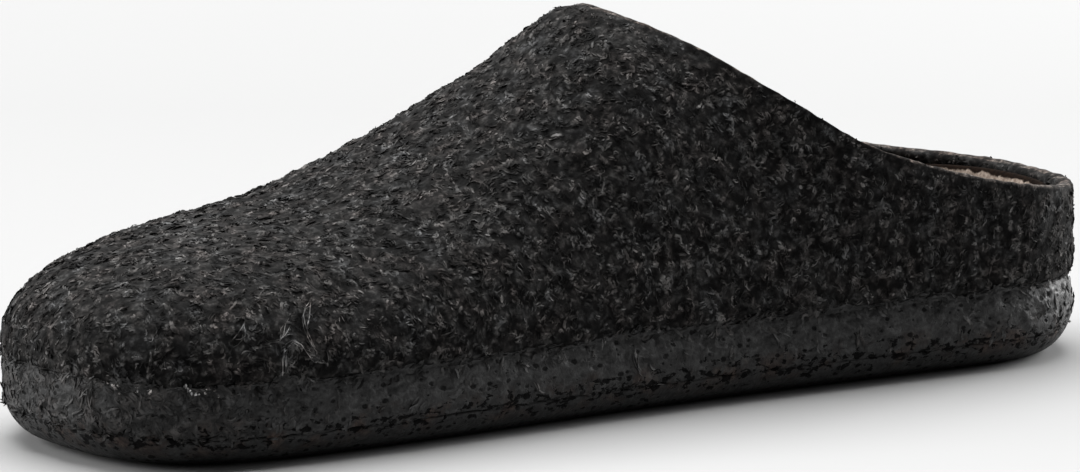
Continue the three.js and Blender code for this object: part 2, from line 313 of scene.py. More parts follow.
def groove_share(strips):
    """Share of the full groove between felt and band at each strip. It fades out round the toe."""
    return mix(TOE_GROOVE, 1.0, rise(strips.x, TOE_GROOVE_END, TOE_GROOVE_FADE))


# Meshes

MERGE_WITHIN = 0.002


def make_object(name, points, faces, material, replaces=None):
    """A smooth mesh from points in millimetres, riding on the shoe's one body."""
    mesh = bpy.data.meshes.new(name)
    mesh.from_pydata((np.asarray(points) * MM).tolist(), [], np.asarray(faces).tolist())
    mesh.materials.append(material)
    mesh.polygons.foreach_set("use_smooth", np.ones(len(mesh.polygons), bool))
    mesh.update()
    made = bpy.data.objects.new(name, mesh)
    bpy.context.scene.collection.objects.link(made)
    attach(made, "root")
    if replaces:
        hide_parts(replaces)
    return made


def loft(rings, joined=False, left_out=None):
    """Points and triangles through rings, outside upwards and inside downwards. Points that meet are merged,
    and left_out says which faces stay open."""
    count = len(rings[0])
    steps = len(rings) if joined else len(rings) - 1
    low = np.arange(steps)[:, None] * count
    high = (np.arange(steps)[:, None] + 1) % len(rings) * count
    here = np.arange(count)[None, :]
    after = (here + 1) % count
    quads = np.stack([low + here, low + after, high + after, high + here], 2)
    if left_out is not None:
        quads = quads[~left_out[:steps]]
    quads = quads.reshape(-1, 4)
    points = np.concatenate(rings)
    keys = np.round(points / MERGE_WITHIN).astype(np.int64)
    _, first, same = np.unique(keys, axis=0, return_index=True, return_inverse=True)
    points, quads = points[first], same.reshape(-1)[quads]
    triangles = np.concatenate([quads[:, [0, 1, 2]], quads[:, [0, 2, 3]]])
    a, b, c = triangles.T
    triangles = triangles[(a != b) & (b != c) & (c != a)]
    used, triangles = np.unique(triangles, return_inverse=True)
    return points[used], triangles.reshape(-1, 3)


def point_normals(points, triangles):
    """Outward directions at the points, weighted by the area of the triangles round each."""
    a, b, c = (points[triangles[:, k]] for k in range(3))
    across = np.cross(b - a, c - a)
    total = np.zeros_like(points)
    for k in range(3):
        np.add.at(total, triangles[:, k], across)
    return total / np.maximum(np.linalg.norm(total, axis=1, keepdims=True), 1e-9)


# The felt upper

# Strips round the toe, vamp, collar and heel
FELT_STRIPS = (70, 90, 90, 56)
FELT_ROWS = 92
FELT_INNER_ROWS = 40
RIM_STEPS = 8
RIM_GROWTH = 4.0
# Share of the groove's depth under the felt, by share of the way up from the band to the felt's widest line
GROOVE_ROWS = [(1.0, 0.0), (0.7, 0.2), (0.3, 0.45), (0.08, 0.75)]
# The felt starts to be clear of the band this far above it, and is fully clear this much higher
CLEAR_FROM = 1.0
CLEAR_OVER = 2.0
# Lumps of the wool: size in millimetres, octaves, shift of the noise, and share of the relief
FELT_LUMPS = [(6.0, 2, 0.0, 0.6), (3.0, 1, 7.3, 0.9)]
FELT_RELIEF = 0.28
EVEN_SHARE = 0.35
EVEN_BY_COLLAR = 4.0
CUT_EDGE_REACH = 2.0
# Soft hollows pressed into the felt, in millimetres: centre, reach along and across it, direction, and depth
HOLLOWS = [
    {"centre": (-62.0, -34.0, 44.0), "long": 34.0, "short": 7.0, "towards": (0.9, 0.35, 0.3), "depth": 0.9},
    {"centre": (-22.0, -42.0, 38.0), "long": 40.0, "short": 13.0, "towards": (0.75, -0.1, 0.7), "depth": 1.4},
    {"centre": (30.0, -40.0, 46.0), "long": 40.0, "short": 16.0, "towards": (0.9, 0.1, 0.45), "depth": 1.0},
    {"centre": (-20.0, 46.0, 38.0), "long": 42.0, "short": 14.0, "towards": (0.8, 0.0, 0.6), "depth": 1.4},
    {"centre": (96.0, -37.0, 33.0), "long": 20.0, "short": 8.0, "towards": (0.3, 0.2, 1.0), "depth": 0.7},
    {"centre": (96.0, 26.0, 33.0), "long": 20.0, "short": 8.0, "towards": (0.3, -0.2, 1.0), "depth": 0.7},
]


def wall_trim(strips):
    """Angle by which the wall's faces stop short of its rounded edge, growing from nothing at the throat."""
    return rise(strips.x, x_at(THROAT_AT), RIM_GROWTH) * RIM_ROUND / (strips.height - FELT_BASE)


def felt_surface(strips):
    """The felt wall, with its rounded cut edge and its skived margin inside the band."""
    bottom = OUTSOLE_THICKNESS + FIT
    ledge = BAND_HEIGHT + FIT
    margin = BAND_TOP_INSET + BAND_WALL + FIT
    groove = TUCK_INSET * groove_share(strips)
    rings = [strips.wall(margin, bottom), strips.wall(margin, ledge)]
    for depth, up in GROOVE_ROWS:
        rings.append(strips.wall(groove * depth, mix(ledge, FELT_BASE, up)))
    end = strips.collar_angle()
    trim = wall_trim(strips)
    for row in range(FELT_ROWS + 1):
        rings.append(strips.arch(row / FELT_ROWS * (end - trim), 0.0))
    outer_top = len(rings) - 1
    for step in range(1, RIM_STEPS):
        turn = math.pi * step / RIM_STEPS
        inset = FELT_WALL * (1 - math.cos(turn)) / 2
        rings.append(strips.arch(end - trim * (1 - math.sin(turn) ** 0.8), inset))
    inner_top = len(rings)
    for row in range(FELT_INNER_ROWS, -1, -1):
        rings.append(strips.arch(row / FELT_INNER_ROWS * (end - trim), FELT_WALL))
    for height in (mix(BAND_HEIGHT, FELT_BASE, 0.5), BAND_HEIGHT, bottom):
        rings.append(inside_point(strips, np.full(len(strips.x), height), 0.0))
    before_throat = strips.station < strips.throat_station
    over_vamp = before_throat | np.roll(before_throat, -1)
    left_out = np.zeros((len(rings), len(strips.x)), bool)
    left_out[outer_top:inner_top] = over_vamp
    return loft(rings, joined=True, left_out=left_out)


def clear_of_band(points):
    """0 on felt that is down in the band, rising to 1 above it."""
    return np.clip((points[:, 2] - BAND_HEIGHT - CLEAR_FROM) / CLEAR_OVER, 0, 1)


def by_collar(points, reach):
    """How close points on the felt are to the collar's cut edge: 1 on it, and 0 past reach millimetres."""
    x = points[:, 0]
    height = mix(THROAT_HEIGHT, HEEL_HEIGHT, column(COLLAR_LINE, "drop", share_at(x))) + lift(x)
    distance = np.maximum(height - points[:, 2], x_at(THROAT_AT) - x)
    return smooth(np.clip(1 - distance / reach, 0, 1))


def hollow_depth(points):
    """How deep the felt is pressed in at points."""
    total = np.zeros(len(points))
    for row in HOLLOWS:
        offset = points - np.array(row["centre"])
        towards = np.array(row["towards"]) / np.linalg.norm(row["towards"])
        along = offset @ towards
        across = np.linalg.norm(offset - np.outer(along, towards), axis=1)
        total += row["depth"] * np.exp(-((along / row["long"]) ** 2) - (across / row["short"]) ** 2)
    return total


def press_felt(points, triangles):
    """Moves the felt's surface in at the hollows, and in and out by the lumps of the wool."""
    normals = point_normals(points, triangles)
    free = smooth(clear_of_band(points))
    lumps = sum(share * field(points, size, octaves, shift) for size, octaves, shift, share in FELT_LUMPS)
    even = 1 - EVEN_SHARE * by_collar(points, EVEN_BY_COLLAR)
    weaker_under = smooth(np.clip(1 + 0.5 * normals[:, 2], 0, 1))
    moved = FELT_RELIEF * lumps * free * even - hollow_depth(points) * free * weaker_under
    return points + normals * moved[:, None]


# The sole and the footbed

BAND_STRIPS = (110, 110, 120, 80)
BAND_ROWS = 34
COAT_FILM = 0.12
BAND_RELIEF = 0.3
PIT_DEPTH = 0.9
PIT_ONSET = 0.55
# How far the coat is brushed up the felt and smeared down the sole: in the middle, at least and at most
BRUSHED_UP, BRUSHED_LIMITS = 0.9, (0.1, 2.0)
BRUSHED_AT_TOE = 0.3
SMEARED_DOWN, SMEARED_LIMITS = 0.35, (-0.1, 1.0)
SOLE_STRIPS = (60, 70, 70, 50)
TREAD_ROWS = 26
OUTSOLE_ROWS = 9
BED_SIDE_ROWS = 10
BED_TOP_ROWS = 34


def band_surface(strips):
    """The coated band. Its upper edge is brushed unevenly up the felt, and its lower edge is smeared down."""
    low = OUTSOLE_THICKNESS + FIT
    inside = BAND_TOP_INSET + BAND_WALL
    edge = np.column_stack([strips.x, strips.y, np.full(len(strips.x), BAND_HEIGHT)])
    groove = groove_share(strips)
    brushed = BRUSHED_UP + 0.7 * field(edge, 9.0, 2, 3.1) + 0.35 * field(edge, 2.2, 1, 5.7)
    brushed = np.clip(brushed * mix(BRUSHED_AT_TOE, 1.0, groove), *BRUSHED_LIMITS)
    smeared = np.clip(SMEARED_DOWN + 0.5 * field(edge, 5.0, 2, 8.3), *SMEARED_LIMITS)
    rings = [
        strips.wall(OUTSOLE_EDGE_INSET + 0.1, low),
        strips.wall(OUTSOLE_EDGE_INSET - 0.25, low - smeared),
    ]
    for height in np.linspace(low, BAND_HEIGHT - 0.4, BAND_ROWS):
        depth = groove if height > BAND_BULGE_HEIGHT else 1.0
        rings.append(strips.wall(sole_inset(height) * depth, height))
    for climbed in (0.0, 0.35, 0.7, 1.0):
        height = BAND_HEIGHT + climbed * brushed
        felt = TUCK_INSET * groove * np.clip((FELT_BASE - height) / (FELT_BASE - BAND_HEIGHT), 0, 1) ** 2
        rings.append(strips.wall(felt - COAT_FILM * (1 - climbed), height))
    rings += [
        strips.wall(felt + 0.25, height + 0.05),
        strips.wall(TUCK_INSET + 0.2, BAND_HEIGHT - 0.1),
        strips.wall(inside, BAND_HEIGHT),
        strips.wall(inside, low),
    ]
    return loft(rings, joined=True)


def press_band(points, triangles):
    """Moves the band's outside in and out by the lumps of the felt under the coat, and in at its pits."""
    normals = point_normals(points, triangles)
    above_sole = rise(points[:, 2], OUTSOLE_THICKNESS, 2.0)
    level = points[:, 2] - lift(points[:, 0])
    ledge = (level > BAND_HEIGHT - 0.5) & (normals[:, 2] > 0.8)
    lumps = field(points, 4.0, 2, 1.7) * 0.5 + field(points * [1, 1, 1.5], 1.9, 1, 9.2) * 0.5
    pits = np.clip(field(points * [1, 1, 1.6], 2.4, 1, 4.4) - PIT_ONSET, 0, 1)
    moved = (BAND_RELIEF * lumps - PIT_DEPTH * pits) * above_sole * ~ledge
    return points + normals * moved[:, None]


def outsole_surface(strips):
    """The outsole, with its flat tread, its round side and its flat top."""
    tread = [strips.raised(strips.plan(share, CONTACT_INSET), 0.0) for share in np.linspace(0, 1, TREAD_ROWS)]
    side = [
        strips.wall(max(OUTSOLE_EDGE_INSET, sole_inset(height)), height)
        for height in np.linspace(0.06, 1, OUTSOLE_ROWS) * OUTSOLE_THICKNESS
    ]
    top = [
        strips.raised(strips.plan(share, CONTACT_INSET), OUTSOLE_THICKNESS)
        for share in (1, 0.7, 0.35, 0)
    ]
    return loft(tread + side + top)


def bed_rim(strips):
    """Height of the footbed's rim at each strip."""
    share = share_at(strips.x)
    across = np.clip((strips.y - AXIS_Y) / (HEEL_WIDTH / 2), -1, 1) / 2 + 0.5
    rims = [column(BED_SECTIONS, name, share) for name in ("outer_rim", "inner_rim")]
    return mix(FOREFOOT_HEIGHT, CUP_HEIGHT, mix(rims[0], rims[1], smooth(across)))


def footbed_surface(strips):
    """The footbed: a flat bottom, sides along the inside of the felt, a rounded lip and a shaped seat."""
    low = OUTSOLE_THICKNESS + FIT
    bottom = inside_inset(low) + BED_FIT
    rim = bed_rim(strips)
    rings = [strips.raised(strips.plan(share, bottom), low) for share in (0, 0.35, 0.7, 1)]
    for height in np.linspace(BAND_HEIGHT, CUP_HEIGHT, BED_SIDE_ROWS):
        rings.append(inside_point(strips, np.minimum(height, rim), BED_FIT))
    for turn in (0.25, 0.5, 0.75):
        rounded = inside_point(strips, rim, BED_FIT + LIP_WIDTH * turn)
        rounded[:, 2] += 0.5 * math.sin(math.pi * turn)
        rings.append(rounded)
    lip = inside_point(strips, rim, BED_FIT + LIP_WIDTH)
    for share in np.linspace(1, 0, BED_TOP_ROWS):
        point = mix(strips.spine, lip[:, :2], share)
        at = share_at(point[:, 0])
        seat = mix(FOREFOOT_HEIGHT, SEAT_HEIGHT, column(BED_SECTIONS, "seat", at))
        turn = share ** column(BED_SECTIONS, "steep", at)
        rings.append(strips.raised(point, mix(seat, rim, turn)))
    return loft(rings)


# Materials

HEIGHT_RANGE = 50.0


class Paint:
    """A material on the Principled shader, whose textures lie in the shoe's own frame. Sizes are in
    millimetres. Stops are pairs of a place and a colour, or a number for a grey."""

    def __init__(self, name, specular):
        self.material = bpy.data.materials.new(name)
        self.material.use_nodes = True
        self.nodes = self.material.node_tree.nodes
        self.links = self.material.node_tree.links
        self.shader = self.nodes["Principled BSDF"]
        self.set("Specular IOR Level", specular)

    def put(self, socket, value):
        """Links a node's output to a socket, or sets the socket to a number or a colour."""
        if isinstance(value, bpy.types.NodeSocket):
            self.links.new(value, socket)
        else:
            socket.default_value = value

    def set(self, name, value):
        self.put(self.shader.inputs[name], value)

    def place(self, shift=(0, 0, 0), stretch=(1, 1, 1)):
        """The place on the surface."""
        place = self.nodes.new("ShaderNodeTexCoord")
        mapping = self.nodes.new("ShaderNodeMapping")
        mapping.inputs["Location"].default_value = shift
        mapping.inputs["Scale"].default_value = stretch
        self.links.new(place.outputs["Object"], mapping.inputs["Vector"])
        return mapping.outputs["Vector"]

    def noise(self, size, detail=3.0, roughness=0.55, distortion=0.0, shift=(0, 0, 0), stretch=(1, 1, 1)):
        """Noise whose lumps are about size across."""
        made = self.nodes.new("ShaderNodeTexNoise")
        made.inputs["Scale"].default_value = 1 / (size * MM)
        made.inputs["Detail"].default_value = detail
        made.inputs["Roughness"].default_value = roughness
        made.inputs["Distortion"].default_value = distortion
        self.links.new(self.place(shift, stretch), made.inputs["Vector"])
        return made.outputs["Fac"]

    def math(self, first, factor, added):
        """first * factor + added"""
        made = self.nodes.new("ShaderNodeMath")
        made.operation = "MULTIPLY_ADD"
        for socket, value in zip(made.inputs, (first, factor, added)):
            self.put(socket, value)
        return made.outputs["Value"]

    def ramp(self, value, stops):
        """Colours by value, with the stops' places from 0 to 1."""
        made = self.nodes.new("ShaderNodeValToRGB")
        while len(made.color_ramp.elements) < len(stops):
            made.color_ramp.elements.new(0.5)
        for element, (at, shade) in zip(made.color_ramp.elements, stops):
            element.position = at
            element.color = (*shade, 1.0) if isinstance(shade, tuple) else (shade, shade, shade, 1.0)
        self.links.new(value, made.inputs["Fac"])
        return made.outputs["Color"]

    def level(self, towards, start, reach, stops):
        """Greys by place along a direction, with stops from start to start + reach."""
        dot = self.nodes.new("ShaderNodeVectorMath")
        dot.operation = "DOT_PRODUCT"
        dot.inputs[1].default_value = towards
        self.links.new(self.place(), dot.inputs[0])
        scaled = self.math(dot.outputs["Value"], 1 / (MM * reach), -start / reach)
        return self.ramp(scaled, [((at - start) / reach, value) for at, value in stops])

    def height(self, stops, tilt=0.0):
        """Greys by height above the floor, or above a plane that climbs by tilt towards the heel."""
        return self.level((-tilt, 0.0, 1.0), 0.0, HEIGHT_RANGE, stops)

    def pits(self, size, largest, stretch):
        """Dark in round pits and 1 between them: one pit in each cell of about size, of any radius up to
        the share largest of the cell."""
        cells = self.nodes.new("ShaderNodeTexVoronoi")
        cells.inputs["Scale"].default_value = 1 / (size * MM)
        self.links.new(self.place((0.1, 0.7, 0.4), stretch), cells.inputs["Vector"])
        chance = self.nodes.new("ShaderNodeSeparateColor")
        self.links.new(cells.outputs["Color"], chance.inputs["Color"])
        ragged = self.math(self.noise(size * 0.3), 0.3, cells.outputs["Distance"])
        beyond = self.math(chance.outputs["Red"], -largest, ragged)
        return self.ramp(beyond, [(0.08, 0.2), (0.22, 1.0)])

    def blend(self, kind, factor, first, second):
        made = self.nodes.new("ShaderNodeMix")
        made.data_type = "RGBA"
        made.blend_type = kind
        self.put(made.inputs["Factor"], factor)
        self.put(made.inputs["A"], first)
        self.put(made.inputs["B"], second)
        return made.outputs["Result"]

    def multiply(self, colour, *others):
        for other in others:
            colour = self.blend("MULTIPLY", 1.0, colour, other)
        return colour

    def bump(self, height, strength, distance, below=None):
        made = self.nodes.new("ShaderNodeBump")
        made.inputs["Strength"].default_value = strength
        made.inputs["Distance"].default_value = distance * MM
        self.links.new(height, made.inputs["Height"])
        if below is not None:
            self.links.new(below, made.inputs["Normal"])
        return made.outputs["Normal"]


# Shades of the felt, as linear colours: the ground under the fibres, the cut edge, tints and tufts
GROUND_STOPS = [(0.34, 0.004), (0.5, 0.011), (0.68, 0.034)]
CUT_STOPS = [(0.32, (0.01, 0.009, 0.008)), (0.5, (0.042, 0.037, 0.034)), (0.68, (0.13, 0.115, 0.105))]
TINTS = [(0.36, (1.0, 0.9, 0.86)), (0.53, (1.03, 1.0, 0.975)), (0.68, (1.1, 1.11, 1.13))]
TUFTS = [(0.38, 0.2), (0.5, 0.8), (0.63, 1.95)]
GROUND_NOISE = 1.3
CUT_NOISE = 1.0
WOOL_ROUGHNESS = 0.95
WOOL_SPECULAR = 0.15


def wool_material(name, stops, size, roughness=WOOL_ROUGHNESS, specular=WOOL_SPECULAR):
    """Matt wool: shades by fine noise, tinted warm and cool in soft patches, in dark and pale tufts."""
    paint = Paint(name, specular)
    paint.set("Roughness", roughness)
    paint.set("Sheen Weight", 0.02)
    paint.set("Sheen Roughness", 0.4)
    paint.set("Sheen Tint", (1.0, 0.95, 0.9, 1.0))
    shade = paint.ramp(paint.noise(size, 4.0, 0.65, 0.4), stops)
    patches = paint.ramp(paint.noise(7.0, 3.0, 0.6, shift=(0.3, 0.1, 0.7)), TINTS)
    tufts = paint.ramp(paint.noise(2.5, 1.2, 0.5, 0.6), TUFTS)
    paint.set("Base Color", paint.multiply(shade, patches, tufts))
    coarse = paint.bump(paint.noise(1.8, 4.0, 0.6, 0.6), 0.6, 0.4)
    fine = paint.bump(paint.noise(0.6, 3.0, 0.6, 1.0, shift=(0.2, 0.4, 0.1)), 0.5, 0.15, coarse)
    paint.set("Normal", fine)
    return paint.material


# Shades of the coat and the outsole, and SEAM_REACH, the share of the crevice's pits by height. Then painted
# shadow that darkens the rubber by the floor, and the places between which a painted sheen brightens the coat
# at the back
BAND_STOPS = [(0.32, 0.015), (0.5, 0.032), (0.7, 0.058)]
OUTSOLE_STOPS = [(0.32, 0.017), (0.7, 0.041)]
SEAM_REACH = [(2.6, 0.0), (OUTSOLE_THICKNESS - 0.9, 1.0), (OUTSOLE_THICKNESS + 0.9, 1.0), (13.0, 0.0)]
PAINTED_FLOOR_SHADOW = [(1.2, 0.12), (2.6, 1.0)]
SHEEN_FROM = 98.0
SHEEN_TO = 122.0
HEEL_RANGE = 150.0
RUST_DARK = (0.012, 0.006, 0.005)
RUST_PALE = (0.082, 0.058, 0.047)
# Painted sheen at the back of the coat and of the outsole, as a factor on their shades
BAND_HEEL_SHEEN = 1.5
OUTSOLE_HEEL_SHEEN = 1.0
BAND_ROUGHNESS = 0.36
OUTSOLE_ROUGHNESS = 0.45
RUBBER_SPECULAR = 0.17


def rubber_material(name, stops, roughness, heel_sheen):
    """Rubber brushed over felt, with pits that crowd into a rusty crevice along the seam of the sole. It has
    painted shadow by the floor, and a painted sheen makes it as many times as bright at the back as the
    factor given last."""
    paint = Paint(name, RUBBER_SPECULAR)
    # Painted sheen: the shades are raised by the sheen factor, and the ramp below takes that off again in
    # front of the heel
    bright = [(at, heel_sheen * value) for at, value in stops]
    shade = paint.ramp(paint.noise(2.6, 4.0, 0.6, 0.5, stretch=(0.7, 0.7, 1.3)), bright)
    grain = paint.ramp(paint.noise(0.8, 3.0, 0.6), [(0.3, 0.7), (0.7, 1.3)])
    sheen_level = paint.level((1.0, 0.0, 0.0), 0.0, HEEL_RANGE, [(SHEEN_FROM, 1.0 / heel_sheen), (SHEEN_TO, 1.0)])
    coat = paint.multiply(shade, grain, sheen_level)
    by_seam = paint.height(SEAM_REACH)
    rust_patches = paint.ramp(paint.noise(7.0, 3.0), [(0.49, 0.0), (0.66, 0.85)])
    rust = paint.ramp(paint.noise(1.4, 3.0), [(0.35, RUST_DARK), (0.68, RUST_PALE)])
    rusty = paint.blend("MIX", paint.multiply(rust_patches, by_seam), coat, rust)
    pits = paint.pits(1.8, 0.36, (0.68, 0.68, 0.95))
    wear_and_painted_shade = paint.noise(1.5, 3.0, 0.6, 0.4, (0.5, 0.1, 0.9), (0.6, 0.6, 1.0))
    crevice = paint.ramp(paint.math(by_seam, -0.145, wear_and_painted_shade), [(0.29, 0.08), (0.35, 1.0)])
    # The last factor is painted shadow, which darkens the rubber by the floor
    paint.set("Base Color", paint.multiply(rusty, pits, crevice, paint.height(PAINTED_FLOOR_SHADOW)))
    gloss = paint.ramp(paint.noise(1.8, 4.0), [(0.3, roughness), (0.7, roughness + 0.25)])
    matt = (1.0, 1.0, 1.0, 1.0)
    paint.set("Roughness", paint.blend("MIX", paint.multiply(pits, crevice), matt, gloss))
    coarse = paint.bump(paint.noise(1.6, 3.0, 0.55, 0.4), 0.8, 0.42)
    holes = paint.bump(pits, 0.6, 0.3, coarse)
    paint.set("Normal", paint.bump(crevice, 0.6, 0.4, holes))
    return paint.material


# Shades of the suede, and of the painted shade under the rim of the heel cup, and how that painted shade
# grows by height towards the cup's rim, above a plane that climbs by CUP_TILT towards the heel
SUEDE_STOPS = [(0.34, (0.15, 0.112, 0.088)), (0.52, (0.29, 0.235, 0.195)), (0.68, (0.5, 0.425, 0.365))]
SUEDE_PAINTED_SHADE_STOPS = [(0.3, (0.003, 0.0015, 0.001)), (0.7, (0.013, 0.007, 0.004))]
CUP_PAINTED_SHADE = [(CUP_HEIGHT - 5.4, 0.0), (CUP_HEIGHT - 2.6, 1.0)]
CUP_TILT = 0.03


def suede_material():
    """Taupe suede, with painted shade darkening it along the rim of the heel cup."""
    paint = Paint("suede", 0.06)
    paint.set("Roughness", 0.95)
    shade = paint.ramp(paint.noise(1.2, 5.0, 0.7, 0.3), SUEDE_STOPS)
    patches = paint.ramp(paint.noise(16.0, 3.0), [(0.3, 0.75), (0.7, 1.1)])
    # Painted shade: the suede turns dark in a ragged band under the cup's rim
    by_rim = paint.height(CUP_PAINTED_SHADE, CUP_TILT)
    wear_and_painted_shade = paint.ramp(paint.math(by_rim, 0.95, paint.noise(3.0, 4.0, 0.6)), [(0.86, 0.0), (1.0, 1.0)])
    dark = paint.ramp(paint.noise(1.0, 3.0), SUEDE_PAINTED_SHADE_STOPS)
    paint.set("Base Color", paint.blend("MIX", wear_and_painted_shade, paint.multiply(shade, patches), dark))
    paint.set("Normal", paint.bump(paint.noise(0.6, 4.0, 0.7), 0.6, 0.2))
    return paint.material


# Fibres, as narrow curved ribbons in locks, which lie on a surface or stand a little proud of it

FIBRE_POINTS = 6
LOCK_FIBRES = 3
LOCK_SPREAD = 0.42
LOCK_LIKENESS = 0.28
LENGTH_LIKENESS = 0.15
SIZE_SPREAD = 0.25
WAVE_SPREAD = 0.5
LOOSE_LIFT = 2.2
LEAST_HEIGHT = 0.06
SUNK_ENDS = 0.05
CALM_SHORTENS = 0.75
CALM_FLATTENS = 0.9
FIBRE_SHADES_AT = (0.35, 0.65)
FIBRE_NOISE = 2.2
BARE_BY_COLLAR = 3.4
CALM_BY_COLLAR = 6.5

# Kinds of fibre, each with its number of locks, its length and width, how far it tends to turn in radians,
# how far it may stand proud, how far it rolls over, and its darkest and palest shade. Those on the felt are
# thick and thin in clumps, and the coated ones are glossier, with a share of them loose
FELT_FIBRES = [
    {"name": "fibres_dark", "seed": 11, "locks": 4600, "length": 2.4, "width": 0.6, "turn": 2.4,
     "proud": 0.14, "roll": 0.4, "shades": (0.006, 0.018), "clump": 6.0, "contrast": 0.6},
    {"name": "fibres_grey", "seed": 12, "locks": 8200, "length": 1.9, "width": 0.56, "turn": 3.2,
     "proud": 0.25, "roll": 0.6, "shades": (0.019, 0.056), "clump": 2.4, "contrast": 1.6},
    {"name": "fibres_pale", "seed": 13, "locks": 4800, "length": 1.7, "width": 0.52, "turn": 3.4,
     "proud": 0.3, "roll": 0.7, "shades": (0.036, 0.104), "clump": 2.6, "contrast": 2.2},
    {"name": "fibres_upright", "seed": 17, "locks": 3000, "length": 2.2, "width": 0.34, "turn": 2.6,
     "proud": 0.34, "roll": 0.9, "shades": (0.03, 0.085), "clump": 3.0, "contrast": 1.6},
]
HAIRS = {"name": "hairs", "seed": 15, "locks": 9, "length": 8.5, "width": 0.2, "turn": 1.4,
         "proud": 0.7, "roll": 0.3, "shades": (0.1, 0.22)}
COATED = {"name": "fibres_coated", "seed": 14, "locks": 3600, "length": 3.4, "width": 0.62, "turn": 2.0,
          "proud": 0.16, "roll": 0.4, "shades": (0.01, 0.037), "loose": 0.006,
          "roughness": 0.6, "specular": 0.35}
# Pale flecks on the coat's upper edge by the toe, as painted glints
PAINTED_GLINTS = {"name": "painted_glints", "seed": 18, "locks": 12, "length": 0.8, "width": 0.6, "turn": 0.6,
        "proud": 0.5, "roll": 0.3, "shades": (0.25, 0.55)}

# Most of the hairs are close to these places on the felt, and a few are elsewhere above its base
HAIR_PLACES = np.array([(-110.0, -45.0, 28.5), (-96.0, -46.0, 30.0)])
HAIR_REACH = 6.0
HAIR_STRAYS = 0.001
STRAYS_ABOVE = FELT_BASE + 3.0
# Pale flecks as painted glints lie along the coat's upper edge between these places, on the outer side of the
# y limit
GLINTS_FROM, GLINTS_TO = -134.0, -114.0
GLINTS_OUTSIDE = -28.0
GLINTS_LEVEL = -0.6
GLINTS_BREADTH = 0.35
# Where coated fibres start to crowd towards the toe, the heel and the top, and how far on they are densest
COATED_TOE, COATED_HEEL, COATED_TOP = (88.0, 32.0), (112.0, 20.0), (BAND_HEIGHT - 3.0, 4.0)
COATED_HIGHEST = BAND_HEIGHT + 2.5


def fibre_ribbons(draw, starts, normals, kind, calm):
    """Points and triangles of ribbons, which curl together in locks of LOCK_FIBRES. Each arches over the
    surface to its own height, and a loose one lifts one end clear instead. calm, from 0 to 1, makes a lock
    short and flat."""
    locks = len(starts)
    count = locks * LOCK_FIBRES

    def shared(values, likeness=LOCK_LIKENESS):
        spread = draw.normal(scale=likeness, size=(count, *values.shape[1:]))
        return np.repeat(values, LOCK_FIBRES, axis=0) + spread

    helper = draw.normal(size=(locks, 3))
    side = np.cross(normals, helper)
    side /= np.linalg.norm(side, axis=1, keepdims=True)
    ahead = np.repeat(np.cross(side, normals), LOCK_FIBRES, axis=0)
    side = np.repeat(side, LOCK_FIBRES, axis=0)
    normals = np.repeat(normals, LOCK_FIBRES, axis=0)
    starts = np.repeat(starts, LOCK_FIBRES, axis=0)
    starts = starts + side * draw.normal(scale=LOCK_SPREAD, size=(count, 1))
    starts = starts + ahead * draw.normal(scale=LOCK_SPREAD * 1.5, size=(count, 1))
    calm = np.repeat(calm, LOCK_FIBRES)
    stretch = shared(draw.normal(scale=SIZE_SPREAD, size=locks), LENGTH_LIKENESS)
    lengths = kind["length"] * np.exp(stretch) * (1 - CALM_SHORTENS * calm)
    widths = kind["width"] * np.exp(draw.normal(scale=SIZE_SPREAD, size=count))
    turns = shared(draw.normal(scale=kind["turn"], size=locks))
    waves = shared(draw.normal(scale=WAVE_SPREAD, size=locks))
    loose = draw.random(count) < kind.get("loose", 0.0)
    heights = kind["proud"] * draw.random(count) * np.where(loose, LOOSE_LIFT, 1.0)
    heights = heights * (1 - CALM_FLATTENS * calm) + LEAST_HEIGHT
    along = np.linspace(-0.5, 0.5, FIBRE_POINTS)[None, :]
    heading = turns[:, None] * along + waves[:, None] * np.cos(2 * np.pi * along)
    step = lengths[:, None] / (FIBRE_POINTS - 1)
    forward = np.cumsum(np.cos(heading) * step, axis=1)
    across = np.cumsum(np.sin(heading) * step, axis=1)
    forward -= forward.mean(axis=1, keepdims=True)
    across -= across.mean(axis=1, keepdims=True)
    arch = np.cos(np.pi * along) * heights[:, None] - SUNK_ENDS
    lifted = (along + 0.5) ** 1.6 * heights[:, None]
    up = np.where(loose[:, None], lifted, arch)
    path = (
        starts[:, None, :]
        + ahead[:, None, :] * forward[..., None]
        + side[:, None, :] * across[..., None]
        + normals[:, None, :] * up[..., None]
    )
    tangent = np.gradient(path, axis=1)
    roll = draw.normal(scale=kind["roll"], size=(count, 1, 1))
    facing = normals[:, None, :] + side[:, None, :] * roll
    edge = np.cross(tangent, facing)
    edge /= np.maximum(np.linalg.norm(edge, axis=2, keepdims=True), 1e-9)
    half = widths[:, None, None] / 2 * edge
    inner_path, inner_half = path[:, 1:-1], half[:, 1:-1]
    points = np.concatenate([path[:, :1], inner_path - inner_half, inner_path + inner_half, path[:, -1:]], 1)
    middle = FIBRE_POINTS - 2
    left = np.arange(1, 1 + middle)
    right = left + middle
    tip = 1 + 2 * middle
    faces = [(0, left[0], right[0]), (tip, right[-1], left[-1])]
    for k in range(middle - 1):
        faces += [(left[k], left[k + 1], right[k + 1]), (left[k], right[k + 1], right[k])]
    every = np.array(faces)[None] + (np.arange(count) * (tip + 1))[:, None, None]
    return points.reshape(-1, 3), every.reshape(-1, 3)


